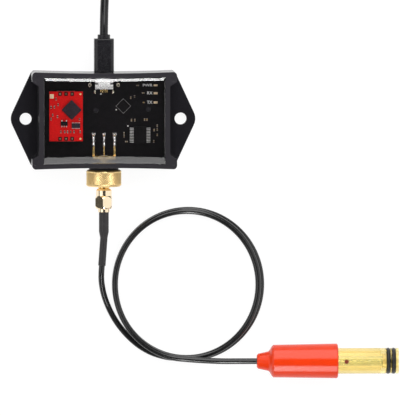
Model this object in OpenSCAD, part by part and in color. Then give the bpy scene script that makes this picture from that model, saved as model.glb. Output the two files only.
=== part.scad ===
// Water-quality probe with a potted USB interface box.
// +X runs along the box and the probe, +Z points up, and the origin is the centre of the box's base.
// All sizes are in millimetres.

/* [Enclosure] */
// Length of the rim along X
box_l = 60.6; // [56:0.1:76]
// Width of the rim along Y at its corners
box_w = 40.8; // [40:0.1:52]
// Height of the rim above the base
box_h = 20; // [19.5:0.1:26]
// Thickness of the long walls
wall = 1.8; // [1.4:0.1:2.2]
// Thickness of the end walls
end_wall = 2; // [1.4:0.1:3]
// Thickness of the floor
floor_t = 2; // [1.2:0.1:3]
// How far the middle of each long wall stands in from its corners
wall_bow = 0.6; // [0.2:0.1:1.2]
// How far the corner posts stand out past the end walls
post_l = 2.9; // [2:0.1:4]
// Width of a corner post along Y at its outer side
post_w = 4.2; // [3:0.1:6]
// Radius of the rim's outer corners
rim_r = 1.7; // [0.8:0.1:1.9]
// Thickness of the flange and its ears
flange_t = 2.5; // [1.6:0.1:4]
// Distance between the mounting holes
ear_pitch = 65; // [65:0.5:80]
// Radius of an ear's tip
ear_r = 6.2; // [5:0.1:8]
// Diameter of a mounting hole
ear_hole_d = 5; // [3:0.1:6]
// Depth of the resin surface below the rim
resin_drop = 3; // [2:0.1:3.2]

/* [Boards] */
// Length of the carrier board along X
carrier_l = 50; // [44:0.1:50.2]
// Thickness of both boards
board_t = 1.6; // [1:0.1:1.8]
// Height of the carrier board's underside
carrier_z = 8; // [5:0.1:8.2]
// Diameter of the pegs that locate the carrier board
peg_d = 2; // [1.5:0.1:3]
// Width of the sensor module along X
module_l = 14; // [13:0.1:17]
// Length of the sensor module along Y
module_w = 20.8; // [18:0.1:25]
// Height of the socket strips under the module
socket_h = 3.7; // [2:0.1:3.8]
// Spacing of the module's pins
pin_pitch = 2.54; // [2:0.01:2.6]

/* [USB] */
// Outer width of the micro-USB socket
usb_socket_w = 7.5; // [7:0.1:8]
// Outer height of the micro-USB socket
usb_socket_h = 2.8; // [2.6:0.1:3]
// Depth of the micro-USB socket
usb_socket_d = 5; // [4.6:0.1:5.6]
// Width of the micro-USB plug's grip
grip_w = 8.3; // [7.8:0.1:11]
// Height of the micro-USB plug's grip
grip_h = 7; // [5:0.1:8.5]
// Length of the micro-USB plug's grip
grip_l = 14; // [10:0.1:20]
// Diameter of the USB cable
usb_cable_d = 3.5; // [3:0.1:3.6]
// Mean radius of the coiled USB cable
coil_r = 20; // [19:0.1:24]
// Columns of turns in the coil
coil_columns = 4; // [3:1:5]
// Layers of turns in the coil
coil_layers = 2; // [2:1:3]

/* [Coaxial connector] */
// Outer diameter of the jack's thread
thread_d = 4.8; // [4.2:0.1:5.4]
// Turns of thread per inch
thread_tpi = 36; // [32:1:40]
// Length of thread inside the coupling nut
thread_grip = 4; // [3:0.1:4.8]
// Diameter of the knurled clamp nut
clamp_d = 14.7; // [12:0.1:18]
// Length of the knurled clamp nut
clamp_l = 7; // [5:0.1:10]
// Diameter of the sealing washer
washer_d = 12.3; // [9:0.1:14]
// Thickness of the sealing washer
washer_t = 1.2; // [0.6:0.1:2]
// Distance across the flats of the coupling nut
hex_af = 6.8; // [6.6:0.1:9]
// Length of the coupling nut
coupling_l = 8.3; // [7.9:0.1:10]
// Diameter of the heat-shrink sleeve at the plug
sleeve_d = 4.1; // [3.9:0.1:5]
// Diameter of the coaxial cable
coax_d = 2.5; // [2:0.1:2.8]

/* [Probe] */
// Diameter of the amber barrel
barrel_d = 10.7; // [10.2:0.1:13]
// Length of the barrel that shows past the cap
barrel_out = 25.5; // [22:0.1:40]
// Length of the barrel inside the cap
barrel_in = 14; // [8:0.1:20]
// Diameter of the cap's open end
cap_d = 14.6; // [14:0.1:18]
// Length of the cap behind its nose
cap_l = 28.6; // [24:0.1:36]
// Length of the cap's nose
nose_l = 5.4; // [3:0.1:8]
// Section diameter of an O-ring
oring_d = 1.78; // [1.5:0.01:2.2]
// Diameter of the glass electrode
glass_d = 4.2; // [3:0.1:4.6]

/* [Hidden] */
$fa = 4;
$fs = 0.2;
eps = 0.02;
fit = 0.075;

// Enclosure: the long walls are arcs, so that they bow in by wall_bow at mid-length.
half_l = box_l/2;
half_w = box_w/2;
bow_r = (half_l*half_l + wall_bow*wall_bow)/(2*wall_bow);
bow_y = half_w - wall_bow + bow_r;
wall_out = half_w - wall_bow;
wall_in = wall_out - wall;
end_in = half_l - post_l - end_wall;
ear_x = ear_pitch/2;
ear_drop = 1;
post_slope = 2.2;
mark_d = 2.4;
mark_in = 2.9;
mark_deep = 0.15;
resin_z = box_h - resin_drop;
seat_deep = 0.05;

// Boards: the carrier lies between the jack's flange and the wall with the USB socket.
board_z = carrier_z + board_t;
flange_jack_t = 1.6;
shoulder_l = 1.35;
shoulder_d = 6.4;
jack_s = wall_in + seat_deep - shoulder_l - flange_jack_t;
carrier_gap = 0.25;
carrier_y1 = wall_in - carrier_gap;
pegs = [[-3.4, 4.1], [18.5, 4.5]];
post_d = 4.5;
peg_hole = 0.2;
module_x = -16;
module_y = 1.7;
module_z = board_z + socket_h;
module_top = module_z + board_t;
pin_row = module_w/2 - 1;
socket_w = 2.4;
pin_w = 0.64;
pin_up = 0.8;
chip_t = 0.9;

// Micro-USB socket and plug, on one axis.
usb_z = board_z + usb_socket_h/2;
usb_sheet = 0.25;
usb_clear = 0.12;
usb_plug_w = usb_socket_w - 2*usb_sheet - 2*usb_clear;
usb_plug_h = 1.8;
usb_front = wall_in - eps;
usb_plug_tip = usb_front - 4;
tongue_w = 3.7;
tongue_h = 0.6;
slot_clear = 0.5;
grip_y = wall_out + 0.2;
collar_w = 5.3;
collar_l = 1.7;

// Coaxial jack and plug. Their places are distances from the origin towards -Y.
jack_z = board_z + 0.4;
pitch = 25.4/thread_tpi;
seat_s = wall_out - seat_deep;
washer_s = seat_s + eps;
clamp_s = washer_s + washer_t + eps;
clamp_end = clamp_s + clamp_l;
thread_gap = 1;
coupling_s = clamp_end + thread_gap;
jack_end = coupling_s + thread_grip;
leg_x = 4.4;
leg_w = 0.8;
leg_l = 8.9;
flange_w = leg_x*2 + leg_w - 0.2;
flange_h = 8;
socket_bore = thread_d - 1.3;
socket_deep = 1.6;
core_d = thread_d - 1.8;
pin_d = 0.76;
contact_bore = 0.55;
plug_pin_d = 0.5;
nut_wall = 1;
nut_cavity_d = thread_d + 0.4;
tail_d = thread_d - 0.9;
coupling_end = coupling_s + coupling_l;
collar_s = coupling_end + 0.15;
rear_collar_d = tail_d + 1;
rear_collar_l = 1.3;
sleeve_s = collar_s + rear_collar_l;
sleeve_thick_l = 8.2;
sleeve_taper_l = 2.6;
sleeve_thin_d = coax_d + 0.6;
ferrule_l = 5;
sleeve_bend = [0, -(sleeve_s + sleeve_thick_l + sleeve_taper_l), jack_z];
sleeve_end = sleeve_bend + [-0.8, -11.7, -1];

// Probe, lying along X on the cap's widest end.
probe_x = 64.3;
probe_y = -101.8;
probe_z = cap_d/2;
nose_d = 6.4;
nose_root_d = 8.2;
cap_start_d = cap_d - 0.9;
shoulder_t = 0.9;
cap_end = nose_l + cap_l;
barrel_s = cap_end - barrel_in;
tip_s = cap_end + barrel_out;
barrel_in_d = barrel_d - 0.2;
barrel_bore = 8.3;
tip_bore = 6.2;
tip_l = 7.5;
oring_gap = 0.5;
oring_tip = 1.15;
oring_proud = 0.15;
oring_s2 = tip_s - oring_tip - oring_d/2;
oring_s1 = oring_s2 - oring_d - oring_gap;
oring_r = barrel_d/2 + oring_proud - oring_d/2;
groove_r = oring_r - oring_d/2 - eps;
glass_wall = 0.5;
seal_l = 4;
seal_s = barrel_s + 6;
glass_s = seal_s + seal_l/2;
glass_end = tip_s - 1;
junction_s = tip_s - tip_l + 0.8;
junction_l = 2;
wire_d = 0.5;
plug_x = 101.8 - probe_x;
fill_d = 1.8;

// Coax route: from the sleeve it drops to the floor, runs two turns on itself and enters the nose.
coax_z = coax_d/2;
coax_up = coax_d + 0.05;
lead_in = [[-1, -64.5, 8.7], [-0.9, -68, 7], [0, -73, 4.3], [1.7, -78, 2.2], [4.1, -83, 1.4],
    [7.2, -87.7, coax_z], [11, -92, coax_z], [15.4, -95.7, coax_z], [20.4, -98.5, coax_z],
    [25.8, -100.2, coax_z], [30.6, -100.8, coax_z]];
loop_centre = [35.7, -69.7];
loop_a = [30.8, 31.3];
loop_b = [30.12, 30.86];
loop_shift = -0.68;
loop_steps = 28;
loop_end = 620;
lead_out = [[36.5, -101.1, 6.45], [42.5, -101.5, 6.7], [49.5, -101.8, 7.1], [57, probe_y, probe_z]];

// USB route: from the collar to the coil, which lies past the box on the same surface.
usb_r = usb_cable_d/2;
usb_in = [[0.1, 42, 10.6], [0.4, 49, 8.5], [0.9, 56, 5.5], [1.5, 62.5, 3.1],
    [2, 68, 2], [2.3, 74, usb_r]];
coil_pitch = usb_cable_d + 0.15;
coil_out = coil_r + coil_pitch*(coil_columns - 1)/2;
coil_x = 2.4 + coil_out;
coil_y = 81;
coil_in = coil_out - coil_pitch*(coil_columns - 1);
tail_z = usb_r + usb_cable_d*(coil_layers - 1);
usb_tail = [[-2, 0, 0], [6, 0, 0], [13, -0.2, -0.3], [20, -0.8, -0.9], [27, -1.5, -1.2], [34, -1.8, -1.25]];
a_grip_h = 8;
a_grip_w = 15.6;
a_grip_l = 26;
a_collar_l = 8;
a_shell_w = 12;
a_shell_h = 4.5;
a_shell_l = 12.5;
a_sheet = 0.3;
tail_start = [coil_x, coil_y + coil_out, tail_z];
a_start = tail_start + usb_tail[len(usb_tail) - 1];

// A ring of points across a cord, at p, for a cord that heads along d.
function unit(v) = v/norm(v);
function side_of(d) = unit(cross([0, 0, 1], d));
function ring(p, d, r) = [for (i = [0:7])
    p + r*cos(45*i + 22.5)*side_of(d) + r*sin(45*i + 22.5)*cross(d, side_of(d))];
function heading(path, i, first, last) =
    i == 0 ? unit(first) : i == len(path) - 1 ? unit(last) : unit(path[i + 1] - path[i - 1]);

// A cord along path, whose ends face along first and last.
module cord(path, r, first, last) {
    n = len(path);
    points = [for (i = [0:n - 1]) each ring(path[i], heading(path, i, first, last), r)];
    sides = [for (i = [0:n - 2], j = [0:7])
        [8*i + j, 8*i + (j + 1) % 8, 8*i + 8 + (j + 1) % 8, 8*i + 8 + j]];
    faces = concat([[for (j = [7:-1:0]) j]], [for (f = sides) [f[0], f[1], f[2], f[3]]],
        [[for (j = [0:7]) 8*(n - 1) + j]]);
    polyhedron(points = points, faces = [for (f = faces) [for (k = [len(f) - 1:-1:0]) f[k]]]);
}

function smooth(t) = t < 0 ? 0 : t > 1 ? 1 : t*t*(3 - 2*t);
function raised(a) = smooth((a - 170)/50) + smooth((a - 530)/50);
function narrowed(a) = smooth((a - 170)/50) - smooth((a - 530)/50);
function loop_point(a) = [
    loop_centre[0] + loop_shift*narrowed(a) + (loop_a[0] + (loop_b[0] - loop_a[0])*narrowed(a))*cos(a),
    loop_centre[1] + (loop_a[1] + (loop_b[1] - loop_a[1])*narrowed(a))*sin(a),
    coax_z + coax_up*raised(a)];
coax_path = concat([sleeve_end], lead_in,
    [for (a = [-90:360/loop_steps:loop_end]) loop_point(a)], lead_out,
    [[probe_x, probe_y, probe_z]]);

module rounded_rect(l, w, r) {
    square([l - 2*r, w], center = true);
    square([l, w - 2*r], center = true);
    for (x = [-1, 1], y = [-1, 1]) translate([x*(l/2 - r), y*(w/2 - r)]) circle(r = r, $fn = 32);
}

// Local +Z becomes the direction in which the coaxial plug leaves, which is -Y.
module along_jack() {
    translate([0, 0, jack_z]) rotate([90, 0, 0]) children();
}

// Local +Z becomes +Y, the direction in which the USB plug leaves.
module along_usb() {
    translate([0, 0, usb_z]) rotate([-90, 0, 0]) children();
}

// Local +Z becomes +X, from the tip of the probe's nose to the barrel's tip.
module along_probe() {
    translate([probe_x, probe_y, probe_z]) rotate([0, 90, 0]) children();
}

module along_usb_a() {
    translate(a_start) rotate([90, 0, 90]) children();
}

module disc(d, s, l) {
    translate([0, 0, s]) cylinder(d = d, h = l);
}

module aim(from, to) {
    v = to - from;
    translate(from) rotate([0, acos(v[2]/norm(v)), atan2(v[1], v[0])]) children();
}

// Enclosure

module wall_arcs(r) {
    for (s = [-1, 1]) translate([0, s*bow_y]) circle(r = r, $fn = 720);
}

module cavity_2d(inset) {
    difference() {
        square([2*(end_in - inset), box_w], center = true);
        wall_arcs(bow_r + wall + inset);
    }
}

module post_2d() {
    x0 = half_l - post_l - 0.5;
    y0 = half_w - post_w;
    polygon([[x0, y0 - post_slope], [half_l, y0], [half_l, half_w - rim_r],
        [half_l - rim_r, half_w], [x0, half_w]]);
    translate([half_l - rim_r, half_w - rim_r]) circle(r = rim_r, $fn = 48);
}

module rim_2d() {
    difference() {
        union() {
            square([2*(half_l - post_l), box_w], center = true);
            for (x = [0, 1], y = [0, 1]) mirror([x, 0]) mirror([0, y]) post_2d();
        }
        wall_arcs(bow_r);
    }
}

module ear_2d() {
    start = [half_l, half_w - ear_drop];
    reach = start - [ear_x, 0];
    turn = atan2(reach[1], reach[0]) - acos(ear_r/norm(reach));
    touch = [ear_x + ear_r*cos(turn), ear_r*sin(turn)];
    polygon([[half_l - 3, start[1]], start, touch, [touch[0], -touch[1]],
        [start[0], -start[1]], [half_l - 3, -start[1]]]);
    translate([ear_x, 0]) circle(r = ear_r, $fn = 96);
}

module flange_2d() {
    difference() {
        union() {
            rounded_rect(box_l, box_w, rim_r);
            for (x = [0, 1]) mirror([x, 0]) ear_2d();
        }
        wall_arcs(bow_r);
    }
}

module board_pegs() {
    for (p = pegs) translate([p[0], p[1], 0]) {
        translate([0, 0, floor_t - 0.4]) cylinder(d = post_d, h = carrier_z - floor_t + 0.4);
        translate([0, 0, carrier_z - 0.4]) cylinder(d = peg_d, h = board_t);
    }
}

module enclosure() {
    color([0.13, 0.13, 0.15]) {
        difference() {
            union() {
                linear_extrude(flange_t) flange_2d();
                linear_extrude(box_h) rim_2d();
            }
            translate([0, 0, floor_t]) linear_extrude(box_h) cavity_2d(0);
            for (x = [-1, 1]) translate([x*ear_x, 0, -1]) cylinder(d = ear_hole_d, h = flange_t + 2);
            for (x = [-1, 1], y = [-1, 1])
                translate([x*(half_l - post_l/2), y*(half_w - mark_in), box_h - mark_deep])
                    cylinder(d = mark_d, h = 1);
            along_jack() {
                disc(thread_d + 0.3, wall_in - 1, wall + 2);
                disc(washer_d + 1.1, seat_s, 2);
                disc(shoulder_d + 0.6, wall_in - 1, 1 + seat_deep);
            }
            translate([-(usb_plug_w + 2*slot_clear)/2, wall_in - 1, usb_z - usb_plug_h/2 - slot_clear])
                cube([usb_plug_w + 2*slot_clear, wall + 3, usb_plug_h + 2*slot_clear]);
        }
        board_pegs();
    }
}

// Everything that the resin is cast around

module embedded() {
    carrier_blank();
    module_blank();
    module_sockets();
    module_pins();
    socket_strip_blanks();
    module_controller();
    module_amplifier();
    module_converter();
    module_leads();
    module_passives();
    module_led();
    usb_bridge_chip();
    isolator_chip();
    lead_rows();
    carrier_passives();
    power_led();
    receive_led();
    transmit_led();
    along_usb() translate([0, 0, usb_front - usb_socket_d]) linear_extrude(usb_socket_d + 2)
        usb_outline(usb_socket_w, usb_socket_h);
    usb_socket_contacts();
    along_jack() jack_outside();
    solder_joints();
}

module potting_resin() {
    color([0.55, 0.6, 0.62, 0.35])
        difference() {
            translate([0, 0, floor_t]) linear_extrude(resin_z - floor_t) cavity_2d(eps);
            board_pegs();
            embedded();
        }
}

// Boards

module carrier_blank() {
    translate([-carrier_l/2, -jack_s, carrier_z]) cube([carrier_l, carrier_y1 + jack_s, board_t]);
}

module carrier_board() {
    color([0.07, 0.07, 0.08])
        difference() {
            carrier_blank();
            for (p = pegs) translate([p[0], p[1], 0]) cylinder(d = peg_d + peg_hole, h = box_h);
        }
}

module at_pins() {
    for (x = [-1, 0, 1], y = [-1, 1]) translate([module_x + x*pin_pitch, module_y + y*pin_row, 0]) children();
}

module module_blank() {
    translate([module_x - module_l/2, module_y - module_w/2, module_z]) cube([module_l, module_w, board_t]);
}

module module_board() {
    color([0.85, 0.06, 0.06])
        difference() {
            module_blank();
            at_pins() cylinder(d = 1, h = box_h);
        }
}

module module_pins() {
    color([0.85, 0.7, 0.35])
        at_pins() translate([-pin_w/2, -pin_w/2, board_z + 0.5])
            cube([pin_w, pin_w, socket_h + board_t + pin_up - 0.5]);
}

module socket_strip_blanks() {
    for (y = [-1, 1]) translate([module_x - 1.5*pin_pitch, module_y + y*pin_row - socket_w/2, board_z])
        cube([3*pin_pitch, socket_w, socket_h]);
}

module module_sockets() {
    color([0.08, 0.08, 0.08])
        difference() {
            socket_strip_blanks();
            at_pins() translate([-pin_w/2, -pin_w/2, board_z + 0.5]) cube([pin_w, pin_w, socket_h]);
        }
}

// Chips and small parts: centred on x, y of the board's top, at height z.
module chip(x, y, z, size, turn = 0) {
    translate([x, y, z]) rotate([0, 0, turn])
        translate([-size[0]/2, -size[1]/2, 0]) cube(size);
}

module on_module(x, y, size, turn = 0) {
    chip(module_x + x, module_y + y, module_top, size, turn);
}

controller = [2.3, 2.7];
controller_side = 6;
amplifier = [-0.8, -3];
amplifier_size = [2.9, 1.7, 1.1];
converter = [4.1, -3.9];
converter_size = [3.6, 1.9, 1];

module module_controller() {
    color([0.2, 0.18, 0.2])
        intersection() {
            on_module(controller[0], controller[1], [controller_side, controller_side, chip_t], 45);
            on_module(controller[0], controller[1],
                [controller_side*sqrt(2) - 0.35, controller_side*sqrt(2) - 0.35, chip_t]);
        }
}

module module_amplifier() {
    color([0.1, 0.1, 0.11]) on_module(amplifier[0], amplifier[1], amplifier_size);
}

module module_converter() {
    color([0.15, 0.14, 0.15]) on_module(converter[0], converter[1], converter_size);
}

module module_leads() {
    color([0.75, 0.75, 0.75]) {
        for (x = [-1, 1])
            on_module(amplifier[0] + x*0.95, amplifier[1] + amplifier_size[1]/2 + 0.3, [0.4, 0.6, 0.5]);
        for (x = [-1, 0, 1])
            on_module(amplifier[0] + x*0.95, amplifier[1] - amplifier_size[1]/2 - 0.3, [0.4, 0.6, 0.5]);
        for (x = [-2.5:2.5], y = [-1, 1])
            on_module(converter[0] + x*0.6, converter[1] + y*(converter_size[1]/2 + 0.2), [0.3, 0.4, 0.4]);
    }
}

module_parts = [[-4.2, 7.3], [-3.3, 4.9], [-6.3, 3.8], [-4.9, 3.9], [-5.6, 0.6], [-3.6, -0.1],
    [-6.3, -1.1], [5.6, -1.2], [-2.2, -6.5], [-0.6, -6.5], [0.6, -6.5], [1.9, -6.5], [3.3, -6.5],
    [5.9, -6.5]];
part_size = [0.5, 1, 0.4];

module module_passives() {
    color([0.3, 0.25, 0.2]) for (p = module_parts) on_module(p[0], p[1], part_size);
}

module module_led() {
    color([0.85, 0.8, 0.65]) on_module(-6, 8.4, [1.6, 1.8, 0.6]);
}

bridge = [8.1, 5.8];
bridge_side = 4;
isolator = [15.1, -6.4];
isolator_size = [5.3, 7.3, 1.8];
lead_count = 10;
lead_pitch = 0.65;
lead_w = 0.3;
lead_out_l = 1.65;

module usb_bridge_chip() {
    color([0.1, 0.1, 0.11]) chip(bridge[0], bridge[1], board_z, [bridge_side, bridge_side, chip_t], 45);
}

module isolator_chip() {
    color([0.09, 0.09, 0.1]) chip(isolator[0], isolator[1], board_z, isolator_size);
}

module lead_rows() {
    for (x = [-1, 1]) chip(isolator[0] + x*(isolator_size[0] + lead_out_l)/2, isolator[1], board_z,
        [lead_out_l, (lead_count - 1)*lead_pitch + lead_w, 1.1]);
}

// One gull-wing lead, from the chip's side at x = 0 out to its foot.
module lead() {
    rotate([90, 0, 0]) linear_extrude(lead_w, center = true)
        polygon([[0, 0.95], [0, 1.1], [0.7, 1.1], [0.95, 0.15], [lead_out_l, 0.15],
            [lead_out_l, 0], [0.8, 0], [0.55, 0.95]]);
}

module isolator_leads() {
    color([0.7, 0.7, 0.72])
        for (s = [0, 1], i = [0:lead_count - 1])
            translate([isolator[0], isolator[1] + (i - (lead_count - 1)/2)*lead_pitch, board_z])
                mirror([s, 0, 0]) translate([isolator_size[0]/2, 0, 0]) lead();
}

// x, y and turn of each small part on the carrier
carrier_parts = [[11.2, 9.3, 0], [12.8, 9.8, 0], [14.1, 14.7, 90], [16.4, 11.3, 90], [16.6, 7.3, 90],
    [8.4, -5.6, 0], [8.4, -6.9, 0], [9.4, -9.1, 90], [22.3, -2.5, 0], [22.3, -4.1, 0],
    [22.3, -6.3, 0], [21, -4.3, 0], [20.8, -9, 0], [11.5, -0.1, 0], [12.9, -0.1, 0],
    [17, 0.1, 0], [18, 0.1, 0]];

module carrier_passives() {
    color([0.55, 0.42, 0.28])
        for (p = carrier_parts) chip(p[0], p[1], board_z, part_size, p[2]);
}

led_x = 21.6;
led_ys = [14.7, 11.2, 7.3];
led_size = [1.6, 0.9, 0.6];

module power_led() {
    color([0.9, 0.75, 0.6]) chip(led_x, led_ys[0], board_z, led_size);
}

module receive_led() {
    color([0.9, 0.75, 0.6]) chip(led_x, led_ys[1], board_z, led_size);
}

module transmit_led() {
    color([0.9, 0.75, 0.6]) chip(led_x, led_ys[2], board_z, led_size);
}

// Micro-USB

module usb_outline(w, h) {
    bevel = h*0.3;
    polygon([[-w/2, -h/2], [w/2, -h/2], [w/2, h/2 - bevel], [w/2 - bevel, h/2],
        [-w/2 + bevel, h/2], [-w/2, h/2 - bevel]]);
}

module usb_socket_shell() {
    color([0.8, 0.8, 0.8])
        along_usb() difference() {
            translate([0, 0, usb_front - usb_socket_d]) linear_extrude(usb_socket_d)
                usb_outline(usb_socket_w, usb_socket_h);
            translate([0, 0, usb_front - usb_socket_d + usb_sheet]) linear_extrude(usb_socket_d)
                usb_outline(usb_socket_w - 2*usb_sheet, usb_socket_h - 2*usb_sheet);
        }
}

module usb_socket_tongue() {
    color([0.1, 0.1, 0.1])
        along_usb() translate([-tongue_w/2, -tongue_h/2, usb_front - usb_socket_d + usb_sheet])
            cube([tongue_w, tongue_h, usb_socket_d - usb_sheet - 0.8]);
}

module usb_socket_contacts() {
    color([0.85, 0.7, 0.4])
        for (x = [-2:2]) translate([x*0.65 - 0.15, usb_front - usb_socket_d - 1.45, board_z])
            cube([0.3, 1.4, 0.25]);
}

module usb_plug_shell() {
    color([0.78, 0.78, 0.8])
        along_usb() difference() {
            translate([0, 0, usb_plug_tip]) linear_extrude(grip_y + 3 - usb_plug_tip)
                usb_outline(usb_plug_w, usb_plug_h);
            translate([0, 0, usb_plug_tip - 1]) linear_extrude(grip_y + 5 - usb_plug_tip)
                usb_outline(usb_plug_w - 2*usb_sheet, usb_plug_h - 2*usb_sheet);
        }
}

module usb_plug_insulator() {
    color([0.15, 0.15, 0.15])
        along_usb() translate([0, 0, usb_front - 0.5]) linear_extrude(grip_y + 3 - usb_front + 0.5)
            usb_outline(usb_plug_w - 2*usb_sheet - 2*eps, usb_plug_h - 2*usb_sheet - 2*eps);
}

module usb_grip() {
    color([0.1, 0.1, 0.11])
        along_usb() difference() {
            translate([0, 0, grip_y]) linear_extrude(grip_l) rounded_rect(grip_w, grip_h, 1.6);
            translate([0, 0, grip_y - 1]) linear_extrude(4) usb_outline(usb_plug_w, usb_plug_h);
        }
}

module usb_collar() {
    color([0.1, 0.1, 0.11]) along_usb() disc(collar_w, grip_y + grip_l, collar_l);
}

// Coaxial connector

module thread_rings(from, to) {
    for (s = [from:pitch:to]) rotate_extrude()
        polygon([[thread_d/2 - 0.3, s], [thread_d/2 + 0.2, s - 0.26], [thread_d/2 + 0.2, s + 0.26]]);
}

module jack_legs() {
    for (x = [-1, 1], y = [jack_z - board_z, jack_z - carrier_z + leg_w])
        translate([x*leg_x - leg_w/2, -y, jack_s - leg_l]) cube([leg_w, leg_w, leg_l + 0.5]);
}

module jack_outside() {
    translate([-flange_w/2, -flange_h/2, jack_s]) cube([flange_w, flange_h, flange_jack_t]);
    disc(shoulder_d, jack_s + 0.5, flange_jack_t + shoulder_l - 0.5);
    disc(thread_d, jack_s + 0.5, jack_end - jack_s - 0.5);
    disc(pin_d, jack_s - leg_l, leg_l);
    jack_legs();
}

module jack_body() {
    color([0.83, 0.66, 0.3])
        along_jack() difference() {
            union() {
                translate([-flange_w/2, -flange_h/2, jack_s]) cube([flange_w, flange_h, flange_jack_t]);
                disc(shoulder_d, jack_s + 0.5, flange_jack_t + shoulder_l - 0.5);
                disc(thread_d, jack_s + 0.5, jack_end - jack_s - 0.5);
                jack_legs();
            }
            disc(core_d, jack_s - 1, jack_end - jack_s);
            disc(socket_bore, jack_end - socket_deep, socket_deep + 1);
            thread_rings(seat_s + 0.6, jack_end - 0.3);
        }
}

module jack_insulator() {
    color([0.92, 0.92, 0.9])
        along_jack() difference() {
            disc(core_d, jack_s, jack_end - socket_deep - jack_s);
            disc(pin_d, jack_s - 1, jack_end);
        }
}

module jack_contact() {
    color([0.88, 0.72, 0.32])
        along_jack() difference() {
            disc(pin_d, jack_s - leg_l, jack_end - socket_deep - jack_s + leg_l);
            disc(contact_bore, jack_end - socket_deep - 3, 4);
        }
}

module pad(x, y, l, w, t) {
    translate([x, y, board_z]) linear_extrude(t) rounded_rect(l, w, min(l, w)/2 - 0.05);
}

module solder_joints() {
    color([0.85, 0.85, 0.86]) {
        difference() {
            for (x = [-1, 0, 1]) chip(x*leg_x, -(jack_s - leg_l + 2.4), board_z,
                [x == 0 ? 1.1 : 1.5, 4.8, x == 0 ? 0.9 : 1]);
            along_jack() jack_legs();
            along_jack() disc(pin_d, jack_s - leg_l - 1, leg_l);
        }
        for (x = [-1, 1]) {
            pad(x*5.9, 14.8, 1.3, 2.1, 0.4);
            pad(x*3.75, 11.9, 0.9, 1.3, 0.3);
        }
    }
}

module sealing_washer() {
    color([0.06, 0.06, 0.06])
        along_jack() difference() {
            disc(washer_d, washer_s, washer_t);
            disc(thread_d + 0.3, washer_s - 1, washer_t + 2);
        }
}

module clamp_nut() {
    chamfer = 0.6;
    recess = 0.8;
    r = clamp_d/2;
    bore = thread_d/2 + fit;
    color([0.8, 0.64, 0.36])
        along_jack() rotate_extrude()
            polygon([[bore, clamp_s], [r - chamfer, clamp_s], [r, clamp_s + chamfer],
                [r, clamp_end - chamfer], [r - chamfer, clamp_end], [r - 2.4, clamp_end],
                [r - 2.4, clamp_end - recess], [bore, clamp_end - recess]]);
}

hex_turn = -22.6;
hex_front = 2.85;

module coupling_nut() {
    corner_r = hex_af/2/cos(30);
    lip = 1.8;
    collar_r = hex_af/2 - 0.1;
    bevel = 0.65;
    hex_s = coupling_s + hex_front;
    inside = coupling_s + thread_grip + 0.3;
    color([0.9, 0.74, 0.34])
        along_jack() difference() {
            union() {
                rotate_extrude() polygon([[0, coupling_s], [collar_r - bevel, coupling_s],
                    [collar_r, coupling_s + bevel], [collar_r, hex_s + 0.5], [0, hex_s + 0.5]]);
                intersection() {
                    rotate([0, 0, hex_turn]) translate([0, 0, hex_s])
                        cylinder(r = corner_r, h = coupling_end - hex_s, $fn = 6);
                    rotate_extrude() polygon([[0, hex_s], [collar_r - 0.05, hex_s],
                        [corner_r + 0.3, hex_s + lip], [corner_r + 0.3, coupling_end - lip],
                        [collar_r - 0.05, coupling_end], [0, coupling_end]]);
                }
            }
            disc(thread_d + 2*fit, coupling_s - 1, thread_grip + 1.4);
            disc(nut_cavity_d, inside, coupling_end - nut_wall - inside);
            disc(tail_d + 0.2, coupling_end - nut_wall - 1, nut_wall + 2);
        }
}

module plug_body() {
    shoulder_s = jack_end + 0.05;
    shoulder_end = coupling_end - nut_wall - 0.06;
    color([0.88, 0.72, 0.32])
        along_jack() difference() {
            union() {
                disc(socket_bore - 0.1, jack_end - socket_deep + 0.15, socket_deep);
                disc(thread_d - 0.2, shoulder_s, shoulder_end - shoulder_s);
                disc(tail_d, shoulder_end - 0.5, collar_s - shoulder_end + 1);
                disc(rear_collar_d, collar_s, rear_collar_l);
                disc(coax_d + 0.8, sleeve_s - 0.5, ferrule_l + 0.5);
            }
            disc(socket_bore - 0.9, jack_end - socket_deep - 1, sleeve_s - jack_end + socket_deep + 1);
        }
}

module plug_insulator() {
    color([0.92, 0.92, 0.9])
        along_jack() difference() {
            disc(socket_bore - 0.9, jack_end, sleeve_s - jack_end);
            disc(plug_pin_d, jack_end - 1, box_w);
        }
}

module plug_contact() {
    color([0.9, 0.76, 0.36])
        along_jack() disc(plug_pin_d, jack_end - socket_deep - 1.5, sleeve_s - jack_end + socket_deep + 1.5);
}

module strain_sleeve() {
    color([0.16, 0.16, 0.16])
        difference() {
            union() {
                along_jack() {
                    disc(sleeve_d, sleeve_s, sleeve_thick_l);
                    translate([0, 0, sleeve_s + sleeve_thick_l])
                        cylinder(d1 = sleeve_d, d2 = sleeve_thin_d, h = sleeve_taper_l);
                }
                translate(sleeve_bend) sphere(d = sleeve_thin_d);
                aim(sleeve_bend, sleeve_end) cylinder(d = sleeve_thin_d, h = norm(sleeve_end - sleeve_bend));
            }
            along_jack() disc(coax_d + 0.8, sleeve_s - 1, ferrule_l + 1);
        }
}

module probe_cable() {
    color([0.13, 0.13, 0.14]) cord(coax_path, coax_z, sleeve_end - sleeve_bend, [1, 0, 0]);
}

// Probe

module probe_cap() {
    r = cap_d/2;
    r0 = cap_start_d/2;
    color([1, 0.24, 0.08])
        along_probe() difference() {
            rotate_extrude() polygon([[0, 0], [nose_d/2 - 0.6, 0], [nose_d/2, 0.6],
                [nose_root_d/2, nose_l - 0.6], [nose_root_d/2 + 0.6, nose_l],
                [r0 - 0.7, nose_l + shoulder_t - 0.1], [r0, nose_l + shoulder_t + 0.6],
                [r, cap_end - 0.4], [r - 0.4, cap_end], [0, cap_end]]);
            disc(barrel_in_d + 2*eps, barrel_s, barrel_in + 1);
        }
}

module fill_hole(d) {
    translate([probe_x + plug_x, probe_y, probe_z]) cylinder(d = d, h = barrel_d/2 - 0.05);
}

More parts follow.
